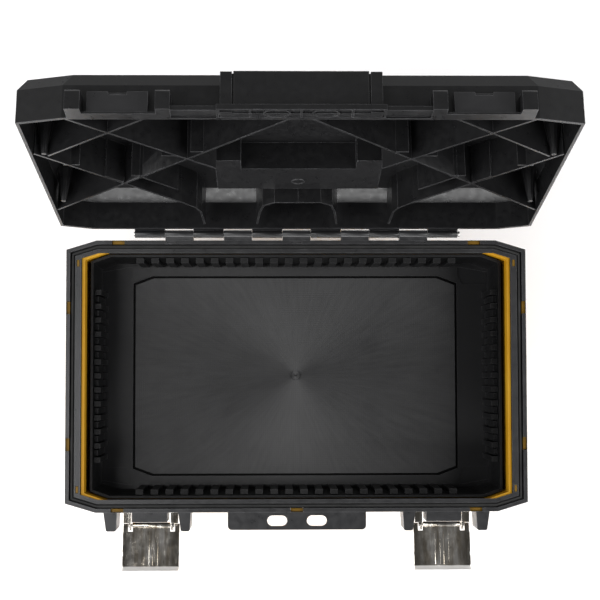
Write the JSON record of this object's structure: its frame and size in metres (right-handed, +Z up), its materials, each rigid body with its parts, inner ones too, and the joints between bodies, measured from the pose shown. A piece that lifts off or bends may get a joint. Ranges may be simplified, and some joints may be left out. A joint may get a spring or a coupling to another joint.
{
  "type": "toolbox with tray",
  "caption": "Rectangular stackable toolbox with a hinged ribbed lid, draw latches, a padlock flange, a folding carry handle and a full-size lift-out tray.",
  "frame": {"origin": "on the floor under the centre of the box's rim", "axes": "+Z up, +Y towards the hinge side, +X to the right seen from the latches"},
  "size_m": [0.5628, 0.5346, 0.606],
  "materials": {
    "bucket_yellow": "moulded, fine texture",
    "frame_plastic": "moulded, satin",
    "lid_plastic": "moulded, fine texture",
    "tray_plastic": "moulded, fine texture",
    "seal_rubber": "matt",
    "grip_rubber": "matt",
    "pin_steel": "drawn",
    "latch_steel": "bright plated"
  },
  "bodies": {
    "box": {"bucket": "bucket_yellow", "foot_pads": "seal_rubber", "rim_frame": "frame_plastic", "rim_seal": "seal_rubber", "hinge_pin": "pin_steel", "bracket_rivets": "pin_steel", "latch_bracket_left": "latch_steel", "latch_bracket_right": "latch_steel", "latch_pin_left": "pin_steel", "latch_pin_right": "pin_steel"},
    "lid": {"lid_shell": "lid_plastic", "lid_ribs": "lid_plastic", "lid_badge_panel": "lid_plastic", "strike_plate_left": "frame_plastic", "strike_plate_right": "frame_plastic", "handle_pins": "pin_steel"},
    "handle": {"carry_handle": "lid_plastic", "handle_grip": "grip_rubber"},
    "latch_left": {"latch_plate_left": "latch_steel"},
    "latch_right": {"latch_plate_right": "latch_steel"},
    "tray": {"tray": "tray_plastic"}
  },
  "joints": [
    {"name": "lid_hinge", "type": "hinge", "parent": "box", "child": "lid", "pos_m": [0, 0.1711, 0.261], "axis": [-1, 0, 0], "range_deg": [-103.4, 0]},
    {"name": "latch_left_hinge", "type": "hinge", "parent": "box", "child": "latch_left", "pos_m": [-0.1762, -0.181, 0.234], "axis": [1, 0, 0], "range_deg": [-78, 0]},
    {"name": "latch_right_hinge", "type": "hinge", "parent": "box", "child": "latch_right", "pos_m": [0.1762, -0.181, 0.234], "axis": [1, 0, 0], "range_deg": [-78, 0]},
    {"name": "handle_pivot", "type": "hinge", "parent": "lid", "child": "handle", "pos_m": [0, 0.24591, 0.42832], "axis": [1, 0, 0], "range_deg": [0, 90]},
    {"name": "tray_lift", "type": "slide", "parent": "box", "child": "tray", "axis": [0, 0, 1], "range_m": [0, 0.16]}
  ]
}
